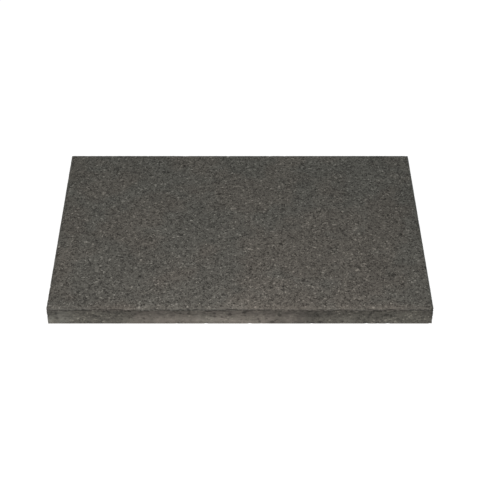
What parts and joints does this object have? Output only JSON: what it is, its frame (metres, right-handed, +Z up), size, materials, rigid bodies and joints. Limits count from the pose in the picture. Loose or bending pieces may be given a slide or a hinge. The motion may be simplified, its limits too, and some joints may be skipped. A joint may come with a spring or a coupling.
{
  "type": "rectangular basalt concrete slab",
  "caption": "Flat rectangular slab of fine dark grey basalt concrete, a speckled facing with a softly rounded rim on a smoother core, that lies on its flat underside.",
  "frame": {"origin": "middle of the underside", "axes": "+X along the long side, -Y out of the front long side, +Z up out of the facing"},
  "size_m": [0.6, 0.4, 0.035],
  "materials": {
    "facing": "fine blasted basalt concrete, dark grey with fine pale and dark grit, matt",
    "core": "pressed concrete, a smoother and cloudier grey-brown than the facing, matt"
  },
  "bodies": {
    "root": {"facing_layer": "facing", "core_layer": "core"}
  },
  "joints": []
}
